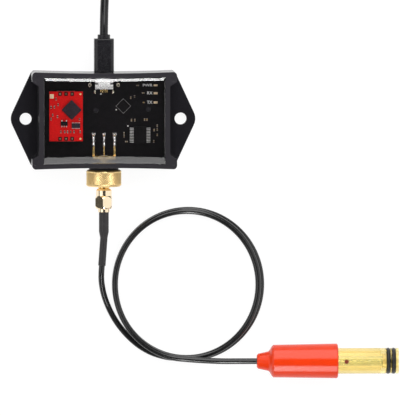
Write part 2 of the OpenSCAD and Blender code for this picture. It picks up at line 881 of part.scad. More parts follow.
module probe_barrel() {
    color([0.98, 0.84, 0.42, 0.6])
        difference() {
            along_probe() difference() {
                union() {
                    disc(barrel_in_d, barrel_s, barrel_in + 1);
                    disc(barrel_d, cap_end + eps, barrel_out - eps);
                }
                disc(barrel_bore, barrel_s - 1, tip_s - tip_l - barrel_s + 1);
                disc(tip_bore, tip_s - tip_l - 1, tip_l + 2);
                for (s = [oring_s1, oring_s2]) rotate_extrude()
                    translate([groove_r, s - oring_d/2 - eps]) square([barrel_d, oring_d + 2*eps]);
            }
            translate([probe_x + plug_x, probe_y, probe_z]) cylinder(d = fill_d + 2*eps, h = barrel_d);
        }
}

module oring(s) {
    color([0.1, 0.1, 0.1])
        along_probe() translate([0, 0, s]) rotate_extrude()
            translate([oring_r, 0]) circle(d = oring_d, $fn = 32);
}

module oring_rear() {
    oring(oring_s1);
}

module oring_front() {
    oring(oring_s2);
}

module glass_electrode() {
    r = glass_d/2;
    color([0.8, 0.9, 0.92, 0.5])
        along_probe() difference() {
            union() {
                disc(glass_d, glass_s, glass_end - r - glass_s);
                translate([0, 0, glass_end - r]) sphere(r = r);
            }
            disc(glass_d - 2*glass_wall, glass_s + 1, glass_end - r - glass_s - 1);
            translate([0, 0, glass_end - r]) sphere(r = r - glass_wall);
            disc(wire_d + 2*eps, glass_s - 1, 3);
        }
}

module electrode_wire() {
    color([0.75, 0.75, 0.75]) along_probe() disc(wire_d, seal_s - 1.5, glass_end - glass_d - seal_s);
}

module reference_junction() {
    color([0.95, 0.93, 0.88])
        along_probe() difference() {
            disc(tip_bore - 2*eps, junction_s, junction_l);
            disc(glass_d + 2*eps, junction_s - 1, junction_l + 2);
        }
}

module rear_seal() {
    color([0.2, 0.2, 0.2])
        along_probe() difference() {
            disc(barrel_bore - 2*eps, seal_s, seal_l);
            disc(glass_d + 2*eps, glass_s, seal_l);
            disc(wire_d + 2*eps, seal_s - 1, seal_l + 2);
        }
}

module fill_plug() {
    color([0.6, 0.3, 0.15])
        translate([probe_x + plug_x, probe_y, probe_z + barrel_bore/2 + 0.2])
            cylinder(d = fill_d, h = (barrel_d - barrel_bore)/2 - 0.3);
}

// USB cable, its coil and its far plug

module usb_cable() {
    color([0.13, 0.13, 0.14])
        cord(concat([[0, grip_y + grip_l + collar_l, usb_z]], usb_in, [[coil_x - coil_out, coil_y, usb_r]]),
            usb_r, [0, 1, 0], [0, 1, 0]);
}

module usb_coil() {
    color([0.13, 0.13, 0.14])
        translate([coil_x, coil_y, 0]) rotate_extrude()
            polygon([[coil_in - usb_r, 0.8], [coil_in - usb_r + 0.8, 0], [coil_out + usb_r - 0.8, 0],
                [coil_out + usb_r, 0.8], [coil_out + usb_r, tail_z + usb_r - 0.8],
                [coil_out + usb_r - 0.8, tail_z + usb_r], [coil_in - usb_r + 0.8, tail_z + usb_r],
                [coil_in - usb_r, tail_z + usb_r - 0.8]]);
}

module usb_cable_tail() {
    color([0.13, 0.13, 0.14])
        cord([for (p = usb_tail) tail_start + p], usb_r, [1, 0, 0], [1, 0, 0]);
}

module usb_a_collar() {
    color([0.1, 0.1, 0.11])
        along_usb_a() cylinder(d1 = usb_cable_d + 1.6, d2 = a_grip_h - 1.4, h = a_collar_l);
}

module usb_a_grip() {
    color([0.1, 0.1, 0.11])
        along_usb_a() difference() {
            translate([0, 0, a_collar_l]) linear_extrude(a_grip_l) rounded_rect(a_grip_w, a_grip_h, 2);
            translate([-a_shell_w/2, -a_shell_h/2, a_collar_l + a_grip_l - 3])
                cube([a_shell_w, a_shell_h, 4]);
        }
}

module usb_a_shell() {
    start = a_collar_l + a_grip_l - 3;
    color([0.78, 0.78, 0.8])
        along_usb_a() difference() {
            translate([-a_shell_w/2, -a_shell_h/2, start]) cube([a_shell_w, a_shell_h, a_shell_l + 3]);
            translate([-a_shell_w/2 + a_sheet, -a_shell_h/2 + a_sheet, start + a_sheet])
                cube([a_shell_w - 2*a_sheet, a_shell_h - 2*a_sheet, a_shell_l + 3]);
            for (x = [-1, 1]) translate([x*2.9 - 1.15, 0, start + 8.5]) cube([2.3, a_shell_h, 2.2]);
        }
}

module usb_a_insulator() {
    color([0.92, 0.92, 0.92])
        along_usb_a() translate([-a_shell_w/2, -a_shell_h/2, a_collar_l + a_grip_l - 3])
            translate([a_sheet, a_sheet, a_sheet]) cube([a_shell_w - 2*a_sheet, 1.7, a_shell_l + 2.4]);
}

module usb_a_contacts() {
    color([0.88, 0.72, 0.32])
        along_usb_a() for (x = [-3.5, -1, 1, 3.5])
            translate([x - 0.5, -a_shell_h/2 + a_sheet + 1.7, a_collar_l + a_grip_l + 1]) cube([1, 0.15, 9]);
}

enclosure();
potting_resin();
carrier_board();
module_board();
module_pins();
module_sockets();
module_controller();
module_amplifier();
module_converter();
module_leads();
module_passives();
module_led();
usb_bridge_chip();
isolator_chip();
isolator_leads();
carrier_passives();
power_led();
receive_led();
transmit_led();
usb_socket_shell();
usb_socket_tongue();
usb_socket_contacts();
jack_body();
jack_insulator();
jack_contact();
solder_joints();
sealing_washer();
clamp_nut();
plug_body();
plug_insulator();
plug_contact();
coupling_nut();
strain_sleeve();
probe_cable();
probe_cap();
probe_barrel();
oring_rear();
oring_front();
glass_electrode();
electrode_wire();
reference_junction();
rear_seal();
fill_plug();
usb_plug_shell();
usb_plug_insulator();
usb_grip();
usb_collar();
usb_cable();
usb_coil();
usb_cable_tail();
usb_a_collar();
usb_a_grip();
usb_a_shell();
usb_a_insulator();
usb_a_contacts();
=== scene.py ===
"""A water-quality probe with its potted USB interface box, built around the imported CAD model."""

import math

import bmesh
import bpy
import numpy as np
from mathutils import Matrix, Vector


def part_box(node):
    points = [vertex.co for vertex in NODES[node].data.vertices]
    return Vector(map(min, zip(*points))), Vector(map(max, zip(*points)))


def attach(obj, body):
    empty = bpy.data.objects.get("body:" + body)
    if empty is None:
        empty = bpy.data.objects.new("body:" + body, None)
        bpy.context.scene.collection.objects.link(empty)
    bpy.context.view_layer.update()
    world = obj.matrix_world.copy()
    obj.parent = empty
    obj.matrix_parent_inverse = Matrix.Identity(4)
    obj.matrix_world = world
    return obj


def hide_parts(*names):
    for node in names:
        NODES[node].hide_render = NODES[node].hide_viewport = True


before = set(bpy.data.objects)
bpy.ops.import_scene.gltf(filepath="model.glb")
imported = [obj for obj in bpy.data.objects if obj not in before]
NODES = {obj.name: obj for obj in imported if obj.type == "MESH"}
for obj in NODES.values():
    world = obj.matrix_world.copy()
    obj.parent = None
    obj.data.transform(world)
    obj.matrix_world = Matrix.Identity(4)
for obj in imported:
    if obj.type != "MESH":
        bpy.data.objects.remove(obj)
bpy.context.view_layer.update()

MM = 0.001
scene = bpy.context.scene
scene.view_settings.view_transform = "Standard"


def mm(*values):
    """A point given in millimetres, in metres."""
    return Vector(values) * MM


# Camera: a long lens far above the object, leaning a little towards the upper left.

VIEW_CENTRE = mm(44.15, -37.78, 0)
VIEW_WIDTH = 174.7 * MM
CAMERA_DISTANCE = 5.0
LEAN = (-0.0472, 0.0592)


def make_camera():
    """The photo's own view: flat, from above, with no perspective to speak of."""
    data = bpy.data.cameras.new("camera")
    camera = bpy.data.objects.new("camera", data)
    scene.collection.objects.link(camera)
    back = Vector((*LEAN, 1)).normalized()
    side = Vector((0, 1, 0)).cross(back).normalized()
    up = back.cross(side)
    camera.matrix_world = Matrix.Translation(VIEW_CENTRE + back * CAMERA_DISTANCE) @ Matrix(
        (side, up, back)
    ).transposed().to_4x4()
    data.sensor_width = 36
    data.lens = data.sensor_width * CAMERA_DISTANCE / VIEW_WIDTH
    data.clip_start = 0.1
    data.clip_end = 50
    scene.camera = camera


make_camera()


# Materials

# The Mix node has sockets of each kind in one list: these are its float and its colour ones.
FLOAT_A, FLOAT_B, COLOUR_A, COLOUR_B, COLOUR_OUT = 2, 3, 6, 7, 2
NOISE_LOW, NOISE_HIGH = 0.3, 0.7  # most of a noise's values lie between these


def new_material(name):
    """An empty node material, its tree and its output node."""
    material = bpy.data.materials.new(name)
    material.use_nodes = True
    tree = material.node_tree
    tree.nodes.clear()
    return material, tree, tree.nodes.new("ShaderNodeOutputMaterial")


def add(tree, kind, **values):
    """A node of that kind, with sockets set by name, or attributes if no socket has the name."""
    node = tree.nodes.new(kind)
    for key, value in values.items():
        socket = node.inputs.get(key.replace("_", " "))
        if socket is None:
            setattr(node, key, value)
        else:
            socket.default_value = value
    return node


def speckle(tree, size_mm, detail=2.0):
    """Noise over the object's own coordinates, with features of about that size."""
    place = add(tree, "ShaderNodeTexCoord")
    pattern = add(tree, "ShaderNodeTexNoise", Scale=1000.0 / size_mm, Detail=detail)
    tree.links.new(place.outputs["Object"], pattern.inputs["Vector"])
    return pattern.outputs["Fac"]


def spread(tree, source, low, high):
    """Maps the middle of a noise's range to low..high."""
    node = add(tree, "ShaderNodeMapRange")
    node.inputs["From Min"].default_value = NOISE_LOW
    node.inputs["From Max"].default_value = NOISE_HIGH
    node.inputs["To Min"].default_value = low
    node.inputs["To Max"].default_value = high
    tree.links.new(source, node.inputs["Value"])
    return node.outputs["Result"]


def blend_colours(tree, factor, low, high):
    """The colour low where factor is 0, and high where it is 1."""
    node = add(tree, "ShaderNodeMix", data_type="RGBA")
    node.inputs[COLOUR_A].default_value = (*low, 1)
    node.inputs[COLOUR_B].default_value = (*high, 1)
    tree.links.new(factor, node.inputs[0])
    return node.outputs[COLOUR_OUT]


def scaled(colour, factor):
    """A lighter or darker copy of a colour, no brighter than white."""
    return tuple(min(1.0, c * factor) for c in colour)


def finish_of(name, colour, rough, metal=0.0, vary=0.12, blotch=3.0, rough_vary=0.06,
              grain=0.25, depth=0.004, edge=0.0, specular=0.5, painted_top_light=None):
    """An opaque finish: colour and roughness drift over blotch mm, and a grain stands depth mm high.

    edge is the radius in mm that sharp edges are shaded with. painted_top_light is (colour, low, high):
    painted light, the colour moves to that one from z low to z high, in mm, so higher surfaces read
    lighter and lower ones darker.
    """
    material, tree, output = new_material(name)
    shader = add(tree, "ShaderNodeBsdfPrincipled", Metallic=metal)
    shader.inputs["Specular IOR Level"].default_value = specular
    drift = spread(tree, speckle(tree, blotch, 3.0), 0.0, 1.0)
    colours = blend_colours(tree, drift, scaled(colour, 1 - vary), scaled(colour, 1 + vary))
    # painted light: the colour lightens with height, painted shade lower down
    if painted_top_light:
        top, start, end = painted_top_light
        place = add(tree, "ShaderNodeTexCoord")
        parts = add(tree, "ShaderNodeSeparateXYZ")
        tree.links.new(place.outputs["Object"], parts.inputs[0])
        height = add(tree, "ShaderNodeMapRange")
        height.inputs["From Min"].default_value = start * MM
        height.inputs["From Max"].default_value = end * MM
        tree.links.new(parts.outputs["Z"], height.inputs["Value"])
        lift = add(tree, "ShaderNodeMix", data_type="RGBA")
        tree.links.new(height.outputs["Result"], lift.inputs[0])
        tree.links.new(colours, lift.inputs[COLOUR_A])
        lift.inputs[COLOUR_B].default_value = (*top, 1)
        colours = lift.outputs[COLOUR_OUT]
    tree.links.new(colours, shader.inputs["Base Color"])
    roughness = spread(tree, speckle(tree, blotch * 0.6, 4.0), rough - rough_vary, rough + rough_vary)
    tree.links.new(roughness, shader.inputs["Roughness"])
    bump = add(tree, "ShaderNodeBump", Strength=1.0, Distance=depth * MM)
    tree.links.new(speckle(tree, grain), bump.inputs["Height"])
    if edge:
        bevel = add(tree, "ShaderNodeBevel", samples=6, Radius=edge * MM)
        tree.links.new(bevel.outputs["Normal"], bump.inputs["Normal"])
    tree.links.new(bump.outputs["Normal"], shader.inputs["Normal"])
    tree.links.new(shader.outputs["BSDF"], output.inputs["Surface"])
    return material


def clear_of(name, colour, rough, ior, cloud=0.02, cloud_mm=6.0, lamp_colour=None):
    """A clear material, faintly clouded, that lets lamps reach what is behind it.

    lamp_colour is the tint of the light that gets through, the material's own where none is given.
    """
    material, tree, output = new_material(name)
    glass = add(tree, "ShaderNodeBsdfGlass", Roughness=rough, IOR=ior)
    clouds = spread(tree, speckle(tree, cloud_mm, 3.0), 0.0, 1.0)
    tree.links.new(blend_colours(tree, clouds, scaled(colour, 1 - cloud), colour),
                   glass.inputs["Color"])
    clear = add(tree, "ShaderNodeBsdfTransparent", Color=(*(lamp_colour or colour), 1))
    path = add(tree, "ShaderNodeLightPath")
    mix = add(tree, "ShaderNodeMixShader")
    tree.links.new(path.outputs["Is Shadow Ray"], mix.inputs[0])
    tree.links.new(glass.outputs["BSDF"], mix.inputs[1])
    tree.links.new(clear.outputs["BSDF"], mix.inputs[2])
    tree.links.new(mix.outputs["Shader"], output.inputs["Surface"])
    return material


# Whatever the resin covers has its index matched by it, so it barely shines of its own.
POTTED = 0.04
# The case lightens from z 4 to 19 mm: painted light on the upper walls and rim, painted shade lower
# down.
CASE = finish_of("case_plastic", (0.0125, 0.0117, 0.015), 0.21, vary=0.06, blotch=9,
                 rough_vary=0.03, grain=0.35, depth=0.003, edge=0.22, specular=0.3,
                 painted_top_light=((0.030, 0.028, 0.033), 4, 19))
RESIN = clear_of("clear_resin", (0.98, 0.98, 0.975), 0.0, 1.57)
BLACK_BOARD = finish_of("black_board", (0.0055, 0.0048, 0.0062), 0.42, vary=0.2, blotch=2.0,
                        grain=0.5, depth=0.003, specular=POTTED)
RED_BOARD = finish_of("red_board", (0.60, 0.0065, 0.0068), 0.45, vary=0.14, blotch=0.5,
                      grain=0.5, depth=0.006, specular=POTTED)
BLACK_PLASTIC = finish_of("black_plastic", (0.0085, 0.008, 0.0105), 0.3, grain=0.3, depth=0.002,
                          edge=0.12, specular=0.35)
GRIP_PLASTIC = finish_of("grip_plastic", (0.0085, 0.008, 0.0105), 0.25, grain=0.3, depth=0.002,
                         edge=0.8, specular=0.4)
CHIP = finish_of("chip_plastic", (0.028, 0.0205, 0.028), 0.55, vary=0.2, blotch=0.8, grain=0.12,
                 depth=0.006, specular=POTTED)
CHIP_DARK = finish_of("chip_dark", (0.0072, 0.0064, 0.0074), 0.55, vary=0.2, blotch=0.8, grain=0.12,
                      depth=0.006, specular=POTTED)
GOLD_PLATE = finish_of("gold_plate", (0.93, 0.66, 0.27), 0.24, metal=1.0, vary=0.06, blotch=1.2,
                       grain=0.2, depth=0.002)
NUT_BRASS = finish_of("nut_brass", (0.97, 0.71, 0.34), 0.4, metal=1.0, vary=0.05, blotch=2.5,
                      grain=0.2, depth=0.0004)
PLUG_GOLD = finish_of("plug_gold", (0.98, 0.81, 0.57), 0.1, metal=1.0, vary=0.03, blotch=2.0,
                      rough_vary=0.02, grain=0.5, depth=0.0003, edge=0.07)
TINNED = finish_of("tinned", (0.6, 0.59, 0.58), 0.35, metal=1.0, grain=0.1, depth=0.002)
SOLDER = finish_of("solder", (0.95, 0.95, 0.95), 0.2, metal=0.8, grain=0.5, depth=0.01, blotch=0.6)
TAB_METAL = finish_of("tab_metal", (0.86, 0.74, 0.6), 0.22, metal=1.0, vary=0.3, blotch=0.9,
                      grain=0.5, depth=0.01)
PIN_TOPS = finish_of("pin_tops", (0.16, 0.13, 0.08), 0.4, metal=0.5, vary=0.6, blotch=2.0,
                     grain=0.2, depth=0.003, specular=POTTED)
PART_DARK = finish_of("module_parts", (0.02, 0.012, 0.012), 0.5, grain=0.1, depth=0.004,
                      vary=0.6, blotch=1.5, specular=POTTED)
PART_TAN = finish_of("carrier_parts", (0.2, 0.13, 0.05), 0.5, grain=0.1, depth=0.004, vary=0.9,
                     blotch=3.0, specular=POTTED)
PART_ENDS = finish_of("part_ends", (0.3, 0.27, 0.24), 0.4, vary=0.8, blotch=2.5, grain=0.2,
                      depth=0.004, specular=POTTED)
PALE_PAD = finish_of("pale_pad", (0.66, 0.6, 0.28), 0.4, vary=0.1, blotch=0.4, specular=POTTED)
LED_BODY = finish_of("led_body", (0.72, 0.56, 0.37), 0.35, grain=0.2, depth=0.003, vary=0.2,
                     blotch=0.8, specular=POTTED)
RUBBER = finish_of("washer_rubber", (0.008, 0.008, 0.008), 0.6, grain=0.2, depth=0.006,
                   specular=0.3)
WHITE_PLASTIC = finish_of("white_insulator", (0.82, 0.81, 0.77), 0.45, vary=0.04, grain=0.3,
                          depth=0.003)
SLEEVE = finish_of("sleeve_black", (0.03, 0.028, 0.029), 0.42, vary=0.15, blotch=1.6, grain=0.5,
                   depth=0.006, specular=0.35)
COAX_JACKET = finish_of("coax_jacket", (0.011, 0.011, 0.0115), 0.17, blotch=2.0, grain=0.5,
                        depth=0.003, specular=0.5)
USB_JACKET = finish_of("usb_jacket", (0.0075, 0.008, 0.009), 0.18, blotch=2.5, grain=0.6,
                       depth=0.004, specular=0.36)
CAP_ORANGE = finish_of("cap_orange", (0.95, 0.05, 0.004), 0.2, vary=0.03, blotch=6.0,
                       rough_vary=0.02, grain=0.6, depth=0.0015, edge=0.25, specular=0.4)
ORING = finish_of("oring_rubber", (0.01, 0.01, 0.01), 0.35, grain=0.3, depth=0.003)
AMBER = clear_of("amber_barrel", (0.995, 0.93, 0.7), 0.1, 1.46, 0.05, 8.0, (0.99, 0.94, 0.74))
GLASS = clear_of("electrode_glass", (0.96, 0.98, 0.98), 0.02, 1.45)
SILVER = finish_of("silver_wire", (0.8, 0.79, 0.77), 0.25, metal=1.0)
CERAMIC = finish_of("porous_ceramic", (0.8, 0.74, 0.62), 0.8, vary=0.12, blotch=0.5, grain=0.12,
                    depth=0.02)
PLUG_BROWN = finish_of("plug_brown", (0.22, 0.035, 0.012), 0.5)
PLUG_STEEL = finish_of("plug_steel", (0.5, 0.5, 0.51), 0.32, metal=1.0, vary=0.06, blotch=3.0,
                       grain=0.2, depth=0.0008, edge=0.15)
STEEL = finish_of("usb_steel", (0.74, 0.735, 0.74), 0.28, metal=1.0, vary=0.04, blotch=1.5,
                  rough_vary=0.04, grain=0.2, depth=0.002, edge=0.06)
SILK = finish_of("silkscreen", (0.85, 0.85, 0.84), 0.55, vary=0.06, blotch=0.5, specular=POTTED)
FAINT_PRINT = finish_of("faint_print", (0.3, 0.3, 0.3), 0.55, vary=0.3, blotch=0.8, specular=POTTED)
TIE = finish_of("coil_tie", (0.02, 0.02, 0.021), 0.6, blotch=1.0, grain=0.3, depth=0.05)

NODE_FINISHES = {
    "enclosure": CASE, "carrier_board": BLACK_BOARD, "module_board": RED_BOARD,
    "module_pins": PIN_TOPS, "module_sockets": BLACK_PLASTIC, "module_controller": CHIP,
    "module_amplifier": CHIP_DARK, "module_converter": CHIP, "module_leads": TINNED,
    "module_passives": PART_DARK, "module_led": LED_BODY, "usb_bridge_chip": CHIP_DARK,
    "isolator_chip": CHIP_DARK, "isolator_leads": TINNED, "carrier_passives": PART_TAN,
    "power_led": LED_BODY, "receive_led": LED_BODY, "transmit_led": LED_BODY,
    "usb_socket_shell": STEEL, "usb_socket_tongue": BLACK_PLASTIC,
    "usb_socket_contacts": GOLD_PLATE, "jack_body": GOLD_PLATE, "jack_insulator": WHITE_PLASTIC,
    "jack_contact": GOLD_PLATE, "sealing_washer": RUBBER, "plug_body": PLUG_GOLD,
    "plug_insulator": WHITE_PLASTIC, "plug_contact": PLUG_GOLD, "coupling_nut": PLUG_GOLD,
    "strain_sleeve": SLEEVE, "probe_cap": CAP_ORANGE, "probe_barrel": AMBER, "oring_rear": ORING,
    "oring_front": ORING, "glass_electrode": GLASS, "electrode_wire": SILVER,
    "reference_junction": CERAMIC, "rear_seal": RUBBER, "fill_plug": PLUG_BROWN,
    "usb_plug_shell": PLUG_STEEL, "usb_plug_insulator": BLACK_PLASTIC, "usb_grip": GRIP_PLASTIC,
    "usb_collar": BLACK_PLASTIC, "usb_a_collar": BLACK_PLASTIC, "usb_a_grip": GRIP_PLASTIC,
    "usb_a_shell": PLUG_STEEL, "usb_a_insulator": WHITE_PLASTIC, "usb_a_contacts": GOLD_PLATE,
}
for name, material in NODE_FINISHES.items():
    for slot in NODES[name].material_slots:
        slot.material = material


# New pieces

def piece(name, mesh, material, body, replaces=()):
    """A mesh made into a piece that rides on a CAD body."""
    mesh.materials.append(material)
    made = bpy.data.objects.new(name, mesh)
    scene.collection.objects.link(made)
    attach(made, body)
    if replaces:
        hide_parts(*replaces)
    return made


def mesh_from(name, points, faces, smooth=True):
    """A mesh from points in metres and the faces between them."""
    mesh = bpy.data.meshes.new(name)
    mesh.from_pydata([tuple(p) for p in points], [], faces)
    mesh.update()
    mesh.polygons.foreach_set("use_smooth", [smooth] * len(mesh.polygons))
    return mesh


def sharpen(mesh, degrees=35):
    """Marks every edge that bends more than this as sharp."""
    mesh.set_sharp_from_angle(angle=math.radians(degrees))


def face_outwards(mesh):
    """Turns every face of a closed mesh to the outside."""
    bm = bmesh.new()
    bm.from_mesh(mesh)
    bmesh.ops.recalc_face_normals(bm, faces=bm.faces)
    bm.to_mesh(mesh)
    bm.free()


# Cords. Their points are the CAD route's own.

COAX_D = 2.5
COAX_Z = COAX_D / 2
COAX_UP = COAX_D + 0.05
SLEEVE_END = (-0.8, -61.19, 9.0)
LEAD_IN = [
    (-1, -64.5, 8.7), (-0.9, -68, 7), (0, -73, 4.3), (1.7, -78, 2.2), (4.1, -83, 1.4),
    (7.2, -87.7, COAX_Z), (11, -92, COAX_Z), (15.4, -95.7, COAX_Z), (20.4, -98.5, COAX_Z),
    (25.8, -100.2, COAX_Z), (30.6, -100.8, COAX_Z),
]
LOOP_CENTRE = (35.7, -69.7)
LOOP_WIDE = (30.8, 31.3)
LOOP_NARROW = (30.12, 30.86)
LOOP_SHIFT = -0.68
LOOP_POINTS = 28  # per turn, and the lead makes two turns
LEAD_OUT = [(36.5, -101.1, 6.45), (42.5, -101.5, 6.7), (49.5, -101.8, 7.1), (57, -101.8, 7.3),
            (64.3, -101.8, 7.3)]
USB_D = 3.5
USB_R = USB_D / 2
USB_START = (0, 35.7, 11)
USB_IN = [(0.1, 42, 10.6), (0.4, 49, 8.5), (0.9, 56, 5.5), (1.5, 62.5, 3.1), (2, 68, 2),
          (2.3, 74, USB_R)]
COIL_PITCH = USB_D + 0.15
COIL_OUT = 20 + COIL_PITCH * 1.5
COIL_CENTRE = (2.4 + COIL_OUT, 81)
COIL_SWEEP, COIL_STEP = 2610, 15  # degrees: seven and a quarter turns
TIE_TURN = -40  # degrees round the coil from +X
USB_TAIL = [(6, 0, 0), (13, -0.2, -0.3), (20, -0.8, -0.9), (27, -1.5, -1.2), (34, -1.8, -1.25)]


def smoothstep(t):
    """0 up to t = 0, 1 from t = 1, and an eased rise between."""
    t = min(1.0, max(0.0, t))
    return t * t * (3 - 2 * t)


def loop_point(a):
    """A point of the probe lead's two loops, a degrees round from +X. The second loop is narrower."""
    first, second = smoothstep((a - 170) / 50), smoothstep((a - 530) / 50)
    narrow = first - second
    rx, ry = (w + (n - w) * narrow for w, n in zip(LOOP_WIDE, LOOP_NARROW))
    turn = math.radians(a)
    return (
        LOOP_CENTRE[0] + LOOP_SHIFT * narrow + rx * math.cos(turn),
        LOOP_CENTRE[1] + ry * math.sin(turn),
        COAX_Z + COAX_UP * (first + second),
    )


def coil_point(a):
    """A point of the coil, a degrees clockwise from where the cord enters it at its left."""
    steps_in = sum(smoothstep((a - 180 - 360 * k) / 40) for k in range(3))
    steps_out = sum(smoothstep((a - 1540 - 360 * k) / 40) for k in range(3))
    r = COIL_OUT - COIL_PITCH * (steps_in - steps_out)
    turn = math.radians(a)
    return (
        COIL_CENTRE[0] - r * math.cos(turn),
        COIL_CENTRE[1] + r * math.sin(turn),
        USB_R + USB_D * smoothstep((a - 1220) / 40),
    )


def through(points, per_span=5):
    """A smooth line through points (Catmull-Rom), with per_span steps from each to the next."""
    pts = [Vector(p) for p in points]
    ends = [2 * pts[0] - pts[1], *pts, 2 * pts[-1] - pts[-2]]
    line = []
    for a, b, c, d in zip(ends, ends[1:], ends[2:], ends[3:]):
        for k in range(per_span):
            t = k / per_span
            line.append(0.5 * (2 * b + (c - a) * t + (2 * a - 5 * b + 4 * c - d) * t * t
                               + (3 * b - a - 3 * c + d) * t ** 3))
    return [*line, pts[-1]]


def cable(name, points, diameter, material, body, replaces):
    """A round cable as a curve of one spline."""
    data = bpy.data.curves.new(name, "CURVE")
    data.dimensions = "3D"
    data.bevel_depth = diameter / 2 * MM
    data.bevel_resolution = 6
    data.use_fill_caps = True
    spline = data.splines.new("POLY")
    spline.points.add(len(points) - 1)
    for point, target in zip(points, spline.points):
        target.co = (*(Vector(point) * MM), 1)
    data.materials.append(material)
    made = bpy.data.objects.new(name, data)
    scene.collection.objects.link(made)
    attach(made, body)
    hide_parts(*replaces)
    return made


coax_line = through(
    [SLEEVE_END, *LEAD_IN,
     *(loop_point(-90 + k * 360 / LOOP_POINTS) for k in range(2 * LOOP_POINTS)),
     *LEAD_OUT], 4
)
coax = cable("probe_cord", coax_line, COAX_D, COAX_JACKET, "probe_lead",
             ["probe_cable"])

tail_start = Vector((COIL_CENTRE[0], COIL_CENTRE[1] + COIL_OUT, USB_R + USB_D))
usb_line = through(
    [USB_START, *USB_IN, *(coil_point(k * COIL_STEP) for k in range(COIL_SWEEP // COIL_STEP + 1)),
     *(tail_start + Vector(p) for p in USB_TAIL)], 3
)
usb = cable("usb_cord", usb_line, USB_D, USB_JACKET, "usb_lead",
            ["usb_cable", "usb_coil", "usb_cable_tail"])


def coil_tie():
    """A hook-and-loop strap round the coil's turns."""
    inner = COIL_OUT - 3 * COIL_PITCH - USB_R
    outer = COIL_OUT + USB_R
    top = USB_R * 2 + USB_D
    gap, thick, width, corner = 0.12, 0.7, 7.0, 1.9
    low, high = (inner - gap, 0.0), (outer + gap, top + gap)
    ring = []
    for cx, cz, start in ((high[0], high[1], 0), (low[0], high[1], 90), (low[0], low[1], 180),
                          (high[0], low[1], 270)):
        sx = -1 if cx == high[0] else 1
        sz = -1 if cz == high[1] else 1
        for k in range(7):
            a = math.radians(start + 15 * k)
            ring.append((cx + sx * corner, cz + sz * corner, math.cos(a), math.sin(a)))
    rows = []
    for offset in (-width / 2, width / 2):
        for grow in (0.0, thick):
            rows.append([(x + (corner + grow) * c, offset, max(0.02, z + (corner + grow) * s))
                         for x, z, c, s in ring])
    n = len(ring)
    points = [p for row in rows for p in row]
    faces = []
    for a, b in ((0, 1), (1, 3), (3, 2), (2, 0)):
        for i in range(n):
            j = (i + 1) % n
            faces.append((a * n + i, a * n + j, b * n + j, b * n + i))
    turn = Matrix.Rotation(math.radians(TIE_TURN), 4, "Z")
    shift = Vector((*COIL_CENTRE, 0))
    mesh = mesh_from("coil_tie", [(turn @ Vector(p) + shift) * MM for p in points], faces)
    face_outwards(mesh)
    sharpen(mesh)
    return piece("coil_tie", mesh, TIE, "usb_lead")


tie = coil_tie()


# Resin, with the meniscus where it climbs the walls

MENISCUS_H = 1.45
MENISCUS_FALL = 1.4  # the distance over which the climb falls by a factor e
SHORT_WALL_CLIMB, SHORT_WALL_FALL = 0.12, 0.3  # shares of the long walls' own
INTO_WALL = 0.15


def resin_piece():
    """The potting resin, whose surface climbs the two long walls and, a little, the short ones."""
    low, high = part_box("potting_resin")
    top = high.z / MM
    half_x = high.x / MM
    # the upper edge at the long wall, which bows a little
    edge = [(v.co.x / MM, v.co.y / MM) for v in NODES["potting_resin"].data.vertices
            if v.co.z > high.z - 1e-5 and v.co.y > high.y - 0.9 * MM]
    bow, _, mid = np.polyfit([abs(e[0]) for e in edge], [e[1] for e in edge], 2)
    steps = 110
    shape = [math.sin(math.pi / 2 * (2 * k / steps - 1)) for k in range(steps + 1)]
    points, faces = [], []
    for v in shape:
        for u in shape:
            x = u * half_x
            half_y = mid + bow * x * x
            y = v * half_y
            near_x = SHORT_WALL_CLIMB * math.exp(
                -(half_x - abs(x)) / (MENISCUS_FALL * SHORT_WALL_FALL))
            near_y = math.exp(-(half_y - abs(y)) / MENISCUS_FALL)
            rise = 1 - (1 - near_x) * (1 - near_y)
            grow_x = INTO_WALL if abs(u) == 1 else 0
            grow_y = INTO_WALL if abs(v) == 1 else 0
            points.append((x + math.copysign(grow_x, u), y + math.copysign(grow_y, v),
                           top + MENISCUS_H * rise))
    n = steps + 1
    for j in range(steps):
        for i in range(steps):
            faces.append((j * n + i, j * n + i + 1, (j + 1) * n + i + 1, (j + 1) * n + i))
    rim = ([i for i in range(n)] + [j * n + steps for j in range(1, n)]
           + [steps * n + i for i in range(steps - 1, -1, -1)]
           + [j * n for j in range(steps - 1, 0, -1)])
    base = len(points)
    floor = low.z / MM - INTO_WALL
    points += [(points[k][0], points[k][1], floor) for k in rim]
    for k in range(len(rim)):
        j = (k + 1) % len(rim)
        faces.append((rim[j], rim[k], base + k, base + j))
    faces.append(tuple(base + k for k in range(len(rim) - 1, -1, -1)))
    mesh = mesh_from("resin", [Vector(p) * MM for p in points], faces)
    sharpen(mesh, 40)
    return piece("resin", mesh, RESIN, "box", ["potting_resin"])


resin_piece()


# Clamp nut, with its diamond knurl

KNURL_COUNT = 46  # pyramids round the nut
KNURL_DEPTH = 0.19
NUT_BORE, NUT_CHAMFER = 2.48, 0.6
NUT_LIP, NUT_RECESS = 2.4, 0.8  # the far face: a raised rim that wide, and what it stands above


